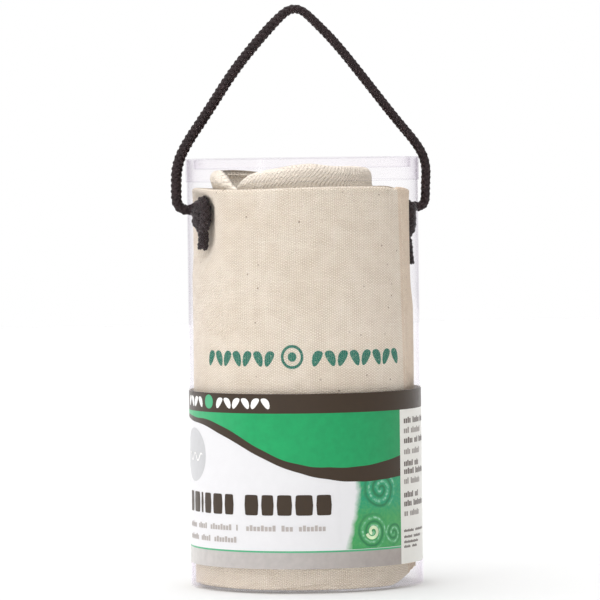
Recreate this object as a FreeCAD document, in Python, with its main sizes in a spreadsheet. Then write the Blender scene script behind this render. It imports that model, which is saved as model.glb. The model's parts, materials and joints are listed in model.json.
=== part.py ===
"""An artist's canvas apron, folded and rolled, in a clear carry tube with a braided cord handle.

Millimetres, +Z up. The origin is the middle of the base's underside. The two cord holes are on the X axis
and the front of the tube faces -Y. Each sub-part is one object of the document and one STEP file.
"""

import FreeCAD, Part
import Sketcher
import math
import os

from FreeCAD import Vector

os.makedirs("parts", exist_ok=True)
doc = FreeCAD.newDocument("ApronTube")

# Driving dimensions in millimetres (angles in degrees), kept in the document's sheet.
DIMENSIONS = {
    # clear tube, lid and base
    "overall_height": 184.5,
    "tube_outer_radius": 50.0,
    "tube_thickness": 0.4,
    "cap_thickness": 0.45,
    "cap_clearance": 0.05,
    "cap_skirt_height": 10.0,
    "cap_edge_fillet": 0.35,
    "base_floor": 0.6,
    "plug_outer_radius": 47.0,
    "plug_depth": 4.5,
    "hole_radius": 2.6,
    "hole_height": 162.5,
    # paper band round the tube
    "label_bottom": 10.3,
    "label_height": 74.4,
    "label_thickness": 0.2,
    "label_clearance": 0.02,
    # cord handle and its knots
    "cord_diameter": 4.5,
    "cord_start": 48.8,
    "knot_middle": 44.3,
    "knot_height": 160.5,
    "knot_half_depth": 4.2,
    "knot_half_width": 5.5,
    "knot_half_height": 7.5,
    "neck_length": 4.0,
    "tail_diameter": 4.2,
    "tail_middle": 44.4,
    "tail_bottom_left": 146.0,
    "tail_bottom_right": 138.0,
    # rolled canvas
    "roll_radius": 47.0,
    "roll_bottom": 1.0,
    "wrap_top": 171.7,
    "wrap_fillet": 2.0,
    "roll_top": 181.5,
    "inner_roll_radius": 35.5,
    "ply_gap": 2.3,
    "ply_gap_bottom": 8.0,
    "core_radius": 14.0,
    "dent_middle": 48.0,
    "dent_radius": 8.6,
    # pocket panel between the turns
    "pocket_inner_radius": 36.2,
    "pocket_thickness": 0.9,
    "pocket_bottom": 14.0,
    "pocket_height": 142.0,
    "pocket_angle": 205.0,
    # straps folded up in the core
    "neck_strap_width": 22.0,
    "tie_width": 19.0,
    "strap_thickness": 4.6,
    "strap_gap": 0.6,
    "strap_bottom": 14.0,
    "neck_strap_length": 138.0,
    "tie_length": 126.0,
    "strap_fillet": 1.5,
}


def make_sheet(sizes):
    """Writes the driving dimensions, one row each: the name, then the plain number with that name as alias."""
    sheet = doc.addObject("Spreadsheet::Sheet", "Dimensions")
    for row, (name, value) in enumerate(sizes.items(), start=1):
        sheet.set(f"A{row}", name)
        sheet.set(f"B{row}", str(value))
        sheet.setAlias(f"B{row}", name)
    doc.recompute()
    return sheet


class Size:
    """A length: its value now, and the expression that ties it to the sheet."""

    def __init__(self, value, text):
        self.value = value
        self.text = text

    def __add__(self, other):
        return Size(self.value + other.value, f"{self.text} + {other.text}")

    def __sub__(self, other):
        return Size(self.value - other.value, f"{self.text} - ({other.text})")

    def __neg__(self):
        return Size(-self.value, f"-({self.text})")

    def __truediv__(self, number):
        return Size(self.value / number, f"({self.text}) / {number}")


def size(name):
    """The sheet's dimension of that name."""
    return Size(DIMENSIONS[name], f"Dimensions.{name}")


ZERO = Size(0.0, "0")


def bind(thing, **properties):
    """Sets each property of an object from a Size."""
    for name, length in properties.items():
        thing.setExpression(name, length.text)


def place(thing, x=ZERO, y=ZERO, z=ZERO):
    """Ties an object's position to the sheet."""
    for axis, length in (("x", x), ("y", y), ("z", z)):
        thing.setExpression(f"Placement.Base.{axis}", length.text)


def new_body(name):
    body = doc.addObject("PartDesign::Body", name)
    body.Label = name
    return body


def new_sketch(body, name, plane_role):
    """A sketch on one of the body's own origin planes."""
    sketch = body.newObject("Sketcher::SketchObject", name)
    plane = next(f for f in body.Origin.OriginFeatures if f.Role == plane_role)
    sketch.AttachmentSupport = [(plane, "")]
    sketch.MapMode = "FlatFace"
    return sketch


def hold(sketch, kind, geometry, point, length):
    """Fixes one coordinate of a sketch point to a Size."""
    on_axis = {"DistanceX": -2, "DistanceY": -1}[kind]
    if abs(length.value) < 1e-9:
        sketch.addConstraint(Sketcher.Constraint("PointOnObject", geometry, point, on_axis))
        return
    number = sketch.addConstraint(Sketcher.Constraint(kind, -1, 1, geometry, point, length.value))
    sketch.setExpression(f"Constraints[{number}]", length.text)


def outline(sketch, corners):
    """A closed outline of straight lines through (across, up) corners, each held to its two Sizes."""
    points = [Vector(across.value, up.value, 0) for across, up in corners]
    for start, end in zip(points, points[1:] + points[:1]):
        sketch.addGeometry(Part.LineSegment(start, end))
    for number, (across, up) in enumerate(corners):
        before = (number - 1) % len(corners)
        sketch.addConstraint(Sketcher.Constraint("Coincident", before, 2, number, 1))
        hold(sketch, "DistanceX", number, 1, across)
        hold(sketch, "DistanceY", number, 1, up)


def circle(sketch, radius, up=ZERO):
    """A circle on the sketch's vertical axis."""
    number = sketch.addGeometry(Part.Circle(Vector(0, up.value, 0), Vector(0, 0, 1), radius.value))
    hold(sketch, "DistanceX", number, 3, ZERO)
    hold(sketch, "DistanceY", number, 3, up)
    rule = sketch.addConstraint(Sketcher.Constraint("Radius", number, radius.value))
    sketch.setExpression(f"Constraints[{rule}]", radius.text)


def revolve(body, corners):
    """Turns an outline of (radius, height) corners all the way round the Z axis."""
    sketch = new_sketch(body, f"{body.Name}_outline", "XZ_Plane")
    outline(sketch, corners)
    turned = body.newObject("PartDesign::Revolution", f"{body.Name}_revolution")
    turned.Profile = (sketch, [""])
    turned.ReferenceAxis = (sketch, ["V_Axis"])
    turned.Angle = 360
    doc.recompute()
    return turned


def round_edges(body, base, radius, wanted):
    """Fillets the circular edges of a body's feature that lie at the wanted (radius, height) pairs."""
    names = []
    for number, edge in enumerate(base.Shape.Edges, start=1):
        if not isinstance(edge.Curve, Part.Circle):
            continue
        here = (edge.Curve.Radius, edge.Curve.Center.z)
        if any(math.dist(here, (r.value, z.value)) < 0.01 for r, z in wanted):
            names.append(f"Edge{number}")
    fillet = body.newObject("PartDesign::Fillet", f"{body.Name}_fillet")
    fillet.Base = (base, names)
    bind(fillet, Radius=radius)
    doc.recompute()


def make_tube_wall():
    """The clear wall: a pad between two circles, with a hole for the cord at each side."""
    body = new_body("tube_wall")
    ring = new_sketch(body, "tube_wall_ring", "XY_Plane")
    circle(ring, size("tube_outer_radius"))
    circle(ring, size("tube_outer_radius") - size("tube_thickness"))
    pad = body.newObject("PartDesign::Pad", "tube_wall_pad")
    pad.Profile = (ring, [""])
    bind(pad, Length=size("overall_height") - size("base_floor") - size("cap_thickness"))
    place(body, z=size("base_floor"))
    doc.recompute()
    holes = new_sketch(body, "tube_wall_holes", "YZ_Plane")
    circle(holes, size("hole_radius"), size("hole_height") - size("base_floor"))
    pocket = body.newObject("PartDesign::Pocket", "tube_wall_pocket")
    pocket.Profile = (holes, [""])
    pocket.Type = "ThroughAll"
    pocket.Midplane = True
    doc.recompute()
    check_cut(pad, pocket)
    return body


def check_cut(before, after):
    """Stops if a cutting feature removed nothing."""
    if after.Shape.Volume > before.Shape.Volume - 1:
        raise RuntimeError(f"{after.Name} cut nothing")


def make_base_cap():
    """The clear base: a flat floor with a skirt that the wall stands in."""
    body = new_body("base_cap")
    inner = size("tube_outer_radius") + size("cap_clearance")
    outer = inner + size("cap_thickness")
    floor = size("base_floor")
    top = size("cap_skirt_height")
    corners = [(ZERO, ZERO), (outer, ZERO), (outer, top), (inner, top), (inner, floor), (ZERO, floor)]
    turned = revolve(body, corners)
    round_edges(body, turned, size("cap_edge_fillet"), [(outer, ZERO)])
    return body


def make_lid():
    """The clear lid: a flat top, a skirt outside the wall and a shallow ring inside it."""
    body = new_body("lid")
    inner = size("tube_outer_radius") + size("cap_clearance")
    outer = inner + size("cap_thickness")
    top = size("overall_height")
    under = top - size("cap_thickness")
    skirt = top - size("cap_skirt_height")
    plug = size("plug_outer_radius")
    plug_inside = plug - size("cap_thickness")
    plug_bottom = top - size("plug_depth")
    corners = [
        (ZERO, top), (outer, top), (outer, skirt), (inner, skirt), (inner, under), (plug, under),
        (plug, plug_bottom), (plug_inside, plug_bottom), (plug_inside, under), (ZERO, under),
    ]
    turned = revolve(body, corners)
    round_edges(body, turned, size("cap_edge_fillet"), [(outer, top)])
    return body


def make_label_band():
    """The printed paper band round the lower half of the tube, standing on the base's skirt."""
    body = new_body("label_band")
    inner = size("tube_outer_radius") + size("label_clearance")
    outer = inner + size("label_thickness")
    bottom = size("label_bottom")
    top = bottom + size("label_height")
    revolve(body, [(inner, bottom), (outer, bottom), (outer, top), (inner, top)])
    return body


def make_apron_body():
    """The canvas panel as it is packed: a soft roll with a taller inner roll, open down its core.

    A narrow gap between the turns holds the pocket panel. Two upright dents clear the cord's knots.
    """
    roll = doc.addObject("PartDesign::Body", "canvas_roll")
    core = size("core_radius")
    outer = size("roll_radius")
    gap_inner = size("inner_roll_radius")
    gap_outer = gap_inner + size("ply_gap")
    bottom = size("roll_bottom")
    wrap_top = size("wrap_top")
    gap_bottom = size("ply_gap_bottom")
    top = size("roll_top")
    corners = [
        (core, bottom), (outer, bottom), (outer, wrap_top), (gap_outer, wrap_top),
        (gap_outer, gap_bottom), (gap_inner, gap_bottom), (gap_inner, top), (core, top),
    ]
    turned = revolve(roll, corners)
    rounded = [(outer, wrap_top), (gap_outer, wrap_top), (gap_inner, top), (core, top), (outer, bottom)]
    round_edges(roll, turned, size("wrap_fillet"), rounded)
    dents = []
    for name, side in (("dent_left", -1), ("dent_right", 1)):
        dent = doc.addObject("Part::Cylinder", name)
        bind(dent, Radius=size("dent_radius"), Height=size("overall_height"))
        place(dent, x=size("dent_middle") if side > 0 else -size("dent_middle"))
        dents.append(dent)
    both = doc.addObject("Part::MultiFuse", "dents")
    both.Shapes = dents
    dented = doc.addObject("Part::Cut", "apron_body")
    dented.Label = "apron_body"
    dented.Base = roll
    dented.Tool = both
    return dented


def make_apron_pocket():
    """The pocket panel, curved between the turns of the roll with its middle at the front."""
    shells = []
    inner = size("pocket_inner_radius")
    for name, radius in (("pocket_outside", inner + size("pocket_thickness")), ("pocket_inside", inner)):
        shell = doc.addObject("Part::Cylinder", name)
        bind(shell, Radius=radius, Height=size("pocket_height"), Angle=size("pocket_angle"))
        place(shell, z=size("pocket_bottom"))
        shell.Placement.Rotation = FreeCAD.Rotation(Vector(0, 0, 1), -90 - DIMENSIONS["pocket_angle"] / 2)
        shells.append(shell)
    panel = doc.addObject("Part::Cut", "apron_pocket")
    panel.Label = "apron_pocket"
    panel.Base, panel.Tool = shells
    return panel


def make_strap(name, width, length, middle):
    """A strap folded to and fro into a flat bundle that stands in the roll's core."""
    bundle = doc.addObject("Part::Box", f"{name}_bundle")
    bind(bundle, Length=width, Width=size("strap_thickness"), Height=length)
    place(bundle, x=-(width / 2), y=middle - size("strap_thickness") / 2, z=size("strap_bottom"))
    doc.recompute()
    rounded = doc.addObject("Part::Fillet", name)
    rounded.Label = name
    rounded.Base = bundle
    radius = DIMENSIONS["strap_fillet"]
    rounded.Edges = [(number + 1, radius, radius) for number in range(len(bundle.Shape.Edges))]
    return rounded


def make_knot(name, side, tail_bottom):
    """An overhand knot against the inside of the wall, with its neck on the hole's axis and its tail."""
    def across(length):
        return length if side > 0 else -length

    knot = doc.addObject("Part::Ellipsoid", f"{name}_turns")
    bind(
        knot,
        Radius1=size("knot_half_height"),
        Radius2=size("knot_half_depth"),
        Radius3=size("knot_half_width"),
    )
    place(knot, x=across(size("knot_middle")), z=size("knot_height"))
    neck = doc.addObject("Part::Cylinder", f"{name}_neck")
    bind(neck, Radius=size("cord_diameter") / 2, Height=size("neck_length"))
    neck_end = size("cord_start") - size("neck_length")
    place(neck, x=neck_end if side > 0 else -size("cord_start"), z=size("hole_height"))
    neck.Placement.Rotation = FreeCAD.Rotation(Vector(0, 1, 0), 90)
    tail = doc.addObject("Part::Cylinder", f"{name}_tail")
    bind(tail, Radius=size("tail_diameter") / 2, Height=size("knot_height") - tail_bottom)
    place(tail, x=across(size("tail_middle")), z=tail_bottom)
    whole = doc.addObject("Part::MultiFuse", name)
    whole.Label = name
    whole.Shapes = [knot, neck, tail]
    return whole


# The handle's route, (across, up), from inside the left hole over the top to inside the right hole.
HOLE_UP = DIMENSIONS["hole_height"]
CORD_ROUTE = [
    (-48.8, HOLE_UP), (-51.3, HOLE_UP), (-53.45, HOLE_UP + 1.25), (-54.7, HOLE_UP + 3.4),
    (-54.9, 171.0), (-54.7, 181.4), (-50.8, 190.3), (-40.6, 204.8), (-29.5, 221.9), (-19.2, 234.6),
    (-10.4, 243.9), (-4.6, 248.5), (0.6, 248.3), (6.2, 243.4), (15.6, 233.9), (28.3, 218.0),
    (41.3, 200.9), (51.3, 188.6), (54.5, 180.9), (54.7, 171.4), (54.6, HOLE_UP + 3.4),
    (53.45, HOLE_UP + 1.25), (51.3, HOLE_UP), (48.8, HOLE_UP),
]  # fmt: skip
BEND_SHARE = 0.45  # how much of the shorter run beside a corner its arc takes


def bend_edges(route):
    """Straight runs joined by tangent arcs along a route, and the arcs' radii."""
    points = [Vector(across, 0, up) for across, up in route]
    edges, radii = [], []
    here = points[0]
    for before, corner, after in zip(points, points[1:], points[2:]):
        way_in = (corner - before).normalize()
        way_out = (after - corner).normalize()
        half_turn = way_in.getAngle(way_out) / 2
        reach = BEND_SHARE * min(before.distanceToPoint(corner), corner.distanceToPoint(after))
        radius = reach / math.tan(half_turn)
        start = corner - way_in * reach
        end = corner + way_out * reach
        inward = (way_out - way_in).normalize()
        middle = corner + inward * (radius / math.cos(half_turn) - radius)
        edges.append(Part.LineSegment(here, start).toShape())
        edges.append(Part.Arc(start, middle, end).toShape())
        radii.append(radius)
        here = end
    edges.append(Part.LineSegment(here, points[-1]).toShape())
    return edges, radii


def make_handle_cord():
    """The cord from hole to hole as a plain round tube along its route."""
    edges, radii = bend_edges(CORD_ROUTE)
    path = Part.Wire(edges)
    section_radius = DIMENSIONS["cord_diameter"] / 2
    start = Vector(CORD_ROUTE[0][0], 0, CORD_ROUTE[0][1])
    ring = Part.Wire([Part.Circle(start, Vector(1, 0, 0), section_radius).toShape()])
    cord = doc.addObject("Part::Feature", "handle_cord")
    cord.Label = "handle_cord"
    cord.Shape = path.makePipeShell([ring], True, False)
    expected = math.pi * section_radius**2 * path.Length
    print("handle_cord bend radii:", ", ".join(f"{radius:.1f}" for radius in radii))
    print(f"handle_cord length {path.Length:.1f}, volume {cord.Shape.Volume:.0f} of {expected:.0f}")
    return cord


def check(parts):
    """Stops on any failed object or any sub-part without a valid solid."""
    for thing in doc.Objects:
        if {"Invalid", "Error"} & set(thing.State):
            raise RuntimeError(f"{thing.Name} failed: {thing.State}")
    for part in parts:
        if part.Shape.isNull() or not part.Shape.isValid() or not part.Shape.Solids:
            raise RuntimeError(f"{part.Label} has no valid solid")


def main():
    make_sheet(DIMENSIONS)
    beside = size("strap_thickness") + size("strap_gap")
    parts = [
        make_tube_wall(),
        make_base_cap(),
        make_lid(),
        make_label_band(),
        make_handle_cord(),
        make_knot("knot_left", -1, size("tail_bottom_left")),
        make_knot("knot_right", 1, size("tail_bottom_right")),
        make_apron_body(),
        make_apron_pocket(),
        make_strap("neck_strap", size("neck_strap_width"), size("neck_strap_length"), ZERO),
        make_strap("waist_tie_left", size("tie_width"), size("tie_length"), -beside),
        make_strap("waist_tie_right", size("tie_width"), size("tie_length"), beside),
    ]
    doc.recompute()
    check(parts)
    for part in parts:
        part.Shape.exportStep(f"parts/{part.Label}.step")
        box = part.Shape.BoundBox
        print(f"{part.Label}: {part.Shape.Volume:.0f} mm3, z {box.ZMin:.1f} to {box.ZMax:.1f}")


main()
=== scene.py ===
"""The looks of an artist's canvas apron, folded and rolled in a clear tube with a braided cord handle.

Everything is in metres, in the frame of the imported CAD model: +Z up, the front of the tube facing -Y and the
two cord holes on the X axis. Angles round the tube are in degrees from the front towards +X.
"""

import json
import math

import bmesh
import bpy
import numpy as np
from mathutils import Matrix, Vector

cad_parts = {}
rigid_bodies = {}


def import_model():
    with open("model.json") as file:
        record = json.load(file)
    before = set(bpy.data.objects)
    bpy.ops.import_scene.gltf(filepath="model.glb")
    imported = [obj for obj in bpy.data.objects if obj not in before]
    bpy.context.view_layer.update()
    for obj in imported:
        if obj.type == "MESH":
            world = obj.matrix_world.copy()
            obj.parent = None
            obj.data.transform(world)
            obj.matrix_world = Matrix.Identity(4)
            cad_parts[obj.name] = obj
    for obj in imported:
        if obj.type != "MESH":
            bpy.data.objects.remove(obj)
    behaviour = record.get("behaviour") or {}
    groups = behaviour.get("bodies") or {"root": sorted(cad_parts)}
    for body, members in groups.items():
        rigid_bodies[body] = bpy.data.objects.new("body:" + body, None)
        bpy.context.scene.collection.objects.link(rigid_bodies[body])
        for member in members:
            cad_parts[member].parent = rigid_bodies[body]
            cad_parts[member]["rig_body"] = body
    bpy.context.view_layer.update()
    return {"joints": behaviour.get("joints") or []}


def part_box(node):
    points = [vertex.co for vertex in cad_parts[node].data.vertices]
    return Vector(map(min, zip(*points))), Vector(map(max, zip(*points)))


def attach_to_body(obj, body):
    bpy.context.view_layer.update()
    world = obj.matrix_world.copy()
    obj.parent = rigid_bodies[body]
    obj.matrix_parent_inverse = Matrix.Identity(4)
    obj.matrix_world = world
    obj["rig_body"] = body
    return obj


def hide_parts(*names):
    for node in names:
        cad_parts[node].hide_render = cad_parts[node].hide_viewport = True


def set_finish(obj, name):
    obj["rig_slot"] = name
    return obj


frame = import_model()

# ---------------------------------------------------------------- places read from the frame
wall_low, wall_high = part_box("tube_wall")
base_low, base_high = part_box("base_cap")
lid_low, lid_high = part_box("lid")
label_low, label_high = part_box("label_band")
roll_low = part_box("apron_body")[0]
pocket_low, pocket_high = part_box("apron_pocket")
HOLE_UP = next(joint for joint in frame["joints"] if joint["name"] == "handle_swing")["pos_m"][2]

TUBE_RADIUS = wall_high.x
WALL = 0.0004
SEAM_PROUD = 0.00022
SEAM_THICKNESS = 0.0002
HOLE_RADIUS = 0.0026
HOLE_SIDES = 48
CAP_CLEARANCE = 0.00005
CAP_THICKNESS = 0.00045
BASE_FLOOR = wall_low.z
PLUG_RADIUS = 0.047
PLUG_DEPTH = 0.0045


# ---------------------------------------------------------------- small helpers
def ramp(value, start, end):
    """A smooth step from 0 at start to 1 at end."""
    share = np.clip((np.asarray(value, float) - start) / (end - start), 0, 1)
    return share * share * (3 - 2 * share)


def hump(value, middle, half_width):
    """A smooth hump of height 1 at middle that ends half_width to each side."""
    return ramp(half_width - np.abs(np.asarray(value, float) - middle), 0, half_width)


def on_tube(angle, radius, up):
    """Points at an angle (degrees from the front towards +X), a radius and a height, as an array (..., 3)."""
    turn, radius, up = np.broadcast_arrays(np.radians(angle), radius, up)
    return np.stack([radius * np.sin(turn), -radius * np.cos(turn), up], -1)


def add_mesh(name, vertices, faces, corner_uvs, material):
    """A smooth-shaded mesh object with one UV pair for each face corner."""
    mesh = bpy.data.meshes.new(name)
    mesh.from_pydata(np.asarray(vertices).tolist(), [], [list(map(int, face)) for face in faces])
    layer = mesh.uv_layers.new(name="flat")
    layer.data.foreach_set("uv", np.asarray(corner_uvs, np.float32).ravel())
    mesh.shade_smooth()
    mesh.materials.append(material)
    thing = bpy.data.objects.new(name, mesh)
    bpy.context.scene.collection.objects.link(thing)
    return thing


def grid_faces(rows, cols, wrap, first=0):
    """Quads between a grid's neighbours; with wrap the last column joins the first."""
    row = np.arange(rows - 1)[:, None]
    col = np.arange(cols if wrap else cols - 1)[None, :]
    after = (col + 1) % cols
    corners = (row * cols + col, row * cols + after, (row + 1) * cols + after, (row + 1) * cols + col)
    return np.stack(np.broadcast_arrays(*corners), -1).reshape(-1, 4) + first


def grid_uvs(uvs, wrap):
    """The UV pairs of those quads' corners. With wrap, uvs has one column more than the points."""
    row = np.arange(uvs.shape[0] - 1)[:, None]
    col = np.arange(uvs.shape[1] - 1)[None, :]
    corners = (uvs[row, col], uvs[row, col + 1], uvs[row + 1, col + 1], uvs[row + 1, col])
    return np.stack(corners, 2).reshape(-1, 2)


def grid(name, points, uvs, material, wrap=False):
    """A mesh over a grid of points (rows, cols, 3)."""
    rows, cols = points.shape[:2]
    faces = grid_faces(rows, cols, wrap)
    return add_mesh(name, points.reshape(-1, 3), faces, grid_uvs(uvs, wrap), material)


def revolve(name, profile, material, segments=192, closed=True):
    """Turns a (radius, height) profile round the Z axis. A closed profile joins its last point to its first."""
    profile = np.asarray(profile, float)
    if closed:
        profile = np.vstack([profile, profile[:1]])
    angle = np.arange(segments + 1) * 360.0 / segments
    points = on_tube(angle[None, :-1], profile[:, :1], profile[:, 1:])
    along = np.concatenate([[0], np.cumsum(np.linalg.norm(np.diff(profile, axis=0), axis=1))])
    around = np.radians(angle) * TUBE_RADIUS
    uvs = np.stack(np.meshgrid(around, along), -1)
    thing = grid(name, points, uvs, material, wrap=True)
    weld(thing)
    return thing


def weld(thing, distance=1e-6):
    """Merges points that lie on each other and turns the faces outwards."""
    work = bmesh.new()
    work.from_mesh(thing.data)
    bmesh.ops.remove_doubles(work, verts=work.verts, dist=distance)
    bmesh.ops.recalc_face_normals(work, faces=work.faces)
    work.to_mesh(thing.data)
    work.free()


def arc(middle, radius, start, end, steps=5):
    """Points of a round corner in a profile, from a start angle to an end angle in degrees."""
    return [
        (middle[0] + radius * math.cos(math.radians(a)), middle[1] + radius * math.sin(math.radians(a)))
        for a in np.linspace(start, end, steps)
    ]


def sharpen(thing, angle):
    """Keeps edges that turn by more than an angle in degrees sharp in the smooth shading."""
    thing.data.set_sharp_from_angle(angle=math.radians(angle))


def apply_modifiers(thing):
    """Replaces an object's mesh by what its modifiers make of it."""
    graph = bpy.context.evaluated_depsgraph_get()
    made = bpy.data.meshes.new_from_object(thing.evaluated_get(graph))
    thing.modifiers.clear()
    thing.data = made


def attach(thing, body, finish, node=None):
    """Says which body a piece moves with and what it is made of, and hides the CAD node that it stands for."""
    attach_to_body(thing, body)
    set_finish(thing, finish)
    if node:
        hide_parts(node)


def solidify(thing, thickness):
    modifier = thing.modifiers.new("thickness", "SOLIDIFY")
    modifier.thickness = thickness
    modifier.offset = 0
    modifier.use_even_offset = False


# ---------------------------------------------------------------- materials
def linear(red, green, blue):
    """A linear colour from its 0 to 255 screen values."""
    def channel(value):
        share = value / 255
        return share / 12.92 if share <= 0.04045 else ((share + 0.055) / 1.055) ** 2.4

    return channel(red), channel(green), channel(blue), 1.0


class Nodes:
    """Short calls for building a node tree. Three-number colours are screen values from 0 to 255."""

    def __init__(self, name, world=False):
        self.owner = (bpy.data.worlds if world else bpy.data.materials).new(name)
        self.owner.use_nodes = True
        self.tree = self.owner.node_tree
        self.tree.nodes.clear()
        self.output = self.tree.nodes.new("ShaderNodeOutputWorld" if world else "ShaderNodeOutputMaterial")

    def add(self, kind, inputs=None, **settings):
        node = self.tree.nodes.new("ShaderNode" + kind)
        for key, value in settings.items():
            setattr(node, key, value)
        for key, value in (inputs or {}).items():
            self.set(node, key, value)
        return node

    def set(self, node, key, value):
        socket = node.inputs[key]
        if isinstance(value, bpy.types.NodeSocket):
            self.tree.links.new(value, socket)
        elif socket.type == "RGBA" and len(value) == 3:
            socket.default_value = linear(*value)
        else:
            socket.default_value = value

    def math(self, operation, first, second=0.0, third=None):
        inputs = {0: first, 1: second}
        if third is not None:
            inputs[2] = third
        return self.add("Math", inputs, operation=operation).outputs[0]

    def times(self, first, second):
        return self.math("MULTIPLY", first, second)

    def times_plus(self, first, second, third):
        return self.math("MULTIPLY_ADD", first, second, third)

    def mix(self, share, first, second, blend="MIX"):
        """Mixes two colours."""
        node = self.add("Mix", data_type="RGBA", blend_type=blend)
        for key, value in ((0, share), (6, first), (7, second)):
            self.set(node, key, value)
        return node.outputs[2]

    def split(self, vector):
        """A vector's three parts."""
        return self.add("SeparateXYZ", {0: vector}).outputs

    def noise(self, vector, scale, detail=2.0, rough=0.5):
        inputs = {"Vector": vector, "Scale": scale, "Detail": detail, "Roughness": rough}
        return self.add("TexNoise", inputs).outputs[0]

    def specks(self, vector, scale, size, edge):
        """1 inside round specks, one in each cell, and 0 outside them."""
        cells = self.add("TexVoronoi", {"Vector": vector, "Scale": scale, "Randomness": 1.0})
        return self.between(cells.outputs["Distance"], size, edge, 1.0, 0.0)

    def between(self, value, low, high, to_low=0.0, to_high=1.0, way="LINEAR"):
        """Maps low..high to to_low..to_high with clamped ends."""
        inputs = {"Value": value, "From Min": low, "From Max": high, "To Min": to_low, "To Max": to_high}
        return self.add("MapRange", inputs, clamp=True, interpolation_type=way).outputs[0]

    def uv(self, across=1.0, along=1.0):
        """The flat cloth coordinates, in metres, times a factor each way."""
        place = self.add("TexCoord").outputs["UV"]
        return self.add("Mapping", {"Vector": place, "Scale": (across, along, 1.0)}).outputs[0]

    def place(self):
        """Where a point is on the object, in metres."""
        return self.add("TexCoord").outputs["Object"]

    def bump(self, height, strength, distance, under=None):
        node = self.add("Bump", {"Height": height, "Strength": strength, "Distance": distance})
        if under is not None:
            self.set(node, "Normal", under)
        return node.outputs[0]

    def finish(self, shader):
        """Puts a shader on the output and gives back the material or the world."""
        self.tree.links.new(shader.outputs[0], self.output.inputs["Surface"])
        return self.owner

    def principled(self, **inputs):
        """The material with a Principled shader. Keys are its socket names with _ for a space."""
        return self.finish(self.add("BsdfPrincipled", {key.replace("_", " "): inputs[key] for key in inputs}))


YARN_ACROSS = 0.00090
YARN_ALONG = 0.00054
YARN_WOBBLE = 0.00096
HEM_WIDTH = 0.0243  # the side hem's width at the height of the label's top


def weave(nodes):
    """The height of a plain weave over flat cloth coordinates, from 0 in the holes to 1 on the yarns."""
    flat = nodes.uv()
    drift = nodes.add("TexNoise", {"Vector": flat, "Scale": 230.0, "Detail": 2.0}).outputs["Color"]
    moved = nodes.add("VectorMath", {0: drift, 1: (0.5, 0.5, 0.5)}, operation="SUBTRACT").outputs[0]
    scaled = nodes.add("VectorMath", {0: moved, "Scale": YARN_WOBBLE}, operation="SCALE").outputs[0]
    place = nodes.add("VectorMath", {0: flat, 1: scaled}, operation="ADD").outputs[0]
    waves = [
        nodes.math("SINE", nodes.times(part, math.pi / pitch))
        for part, pitch in zip(nodes.split(place), (YARN_ACROSS, YARN_ALONG))
    ]
    crossing = nodes.times(*waves)
    over = nodes.math("POWER", nodes.math("ABSOLUTE", crossing), 0.7)
    raised = nodes.times_plus(crossing, 0.4, nodes.times(over, 0.6))
    return nodes.between(raised, -0.15, 0.85)


def canvas_material(name, ribs=False):
    """Unbleached cotton canvas: a plain weave with slubs, soft stains, fuzz, small seed flecks and painted shade
    between the yarns.
    """
    nodes = Nodes(name)
    yarns = weave(nodes)
    slub_across = nodes.noise(nodes.uv(26.0, 1150.0), 1.0, 2.0)
    slub_along = nodes.noise(nodes.uv(900.0, 22.0), 1.0, 2.0)
    slubs = nodes.math("ADD", nodes.between(slub_across, 0.55, 0.8), nodes.between(slub_along, 0.55, 0.8))
    cloud = nodes.noise(nodes.uv(), 42.0, 4.0, 0.6)
    fuzz = nodes.noise(nodes.uv(), 5200.0, 2.0, 0.7)
    colour = nodes.mix(nodes.between(cloud, 0.3, 0.7), (242, 230, 214), (248, 238, 224))
    # Painted shade: the gaps between the yarns are darkened, deeper in some patches than in others.
    patchiness = nodes.between(nodes.noise(nodes.uv(), 140.0, 2.0), 0.35, 0.65, 0.7, 1.0)
    gaps = nodes.times(nodes.between(yarns, 0.0, 0.6, 1.0, 0.0), patchiness)
    colour = nodes.mix(gaps, colour, (176, 151, 121))
    colour = nodes.mix(nodes.times(slubs, 0.2), colour, (250, 243, 231))
    fleck_rare = nodes.between(nodes.noise(nodes.uv(), 71.0, 1.0), 0.47, 0.51)
    flecks = nodes.times(nodes.specks(nodes.uv(), 190.0, 0.04, 0.11), fleck_rare)
    colour = nodes.mix(nodes.times(flecks, 0.75), colour, (128, 98, 70))
    height = nodes.times_plus(slubs, 0.35, yarns)
    height = nodes.times_plus(fuzz, 0.3, height)
    normal = nodes.bump(height, 1.0, 0.00036)
    if ribs:
        across, up, _ = nodes.split(nodes.uv())
        # Painted shade: the side hem's strip, which turns away from the light past its crease, is darkened a little.
        hem_edge = nodes.times_plus(up, 0.033, HEM_WIDTH - 0.0026)
        past_hem = nodes.math("SUBTRACT", across, hem_edge)
        on_hem = nodes.between(past_hem, -0.0004, 0.0004, 1.0, 0.0)
        colour = nodes.mix(on_hem, colour, (249, 240, 231), "MULTIPLY")
        slanted = nodes.times_plus(across, 1.15, up)
        lines = nodes.math("SINE", nodes.times(slanted, 2 * math.pi / 0.0020))
        where = nodes.between(across, RIBS_FROM, RIBS_FROM + 0.02)
        # Painted light: the inner roll's cloth is mixed towards a lighter cream so that it looks as lit as the wrap,
        # which shades it from below.
        colour = nodes.mix(nodes.times(where, 0.85), colour, (255, 244, 228))
        normal = nodes.bump(nodes.times(lines, where), 0.6, 0.0002, normal)
    return nodes.principled(
        Base_Color=colour, Roughness=0.92, Specular_IOR_Level=0.2, Sheen_Weight=0.18, Sheen_Roughness=0.5,
        Normal=normal,
    )


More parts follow.
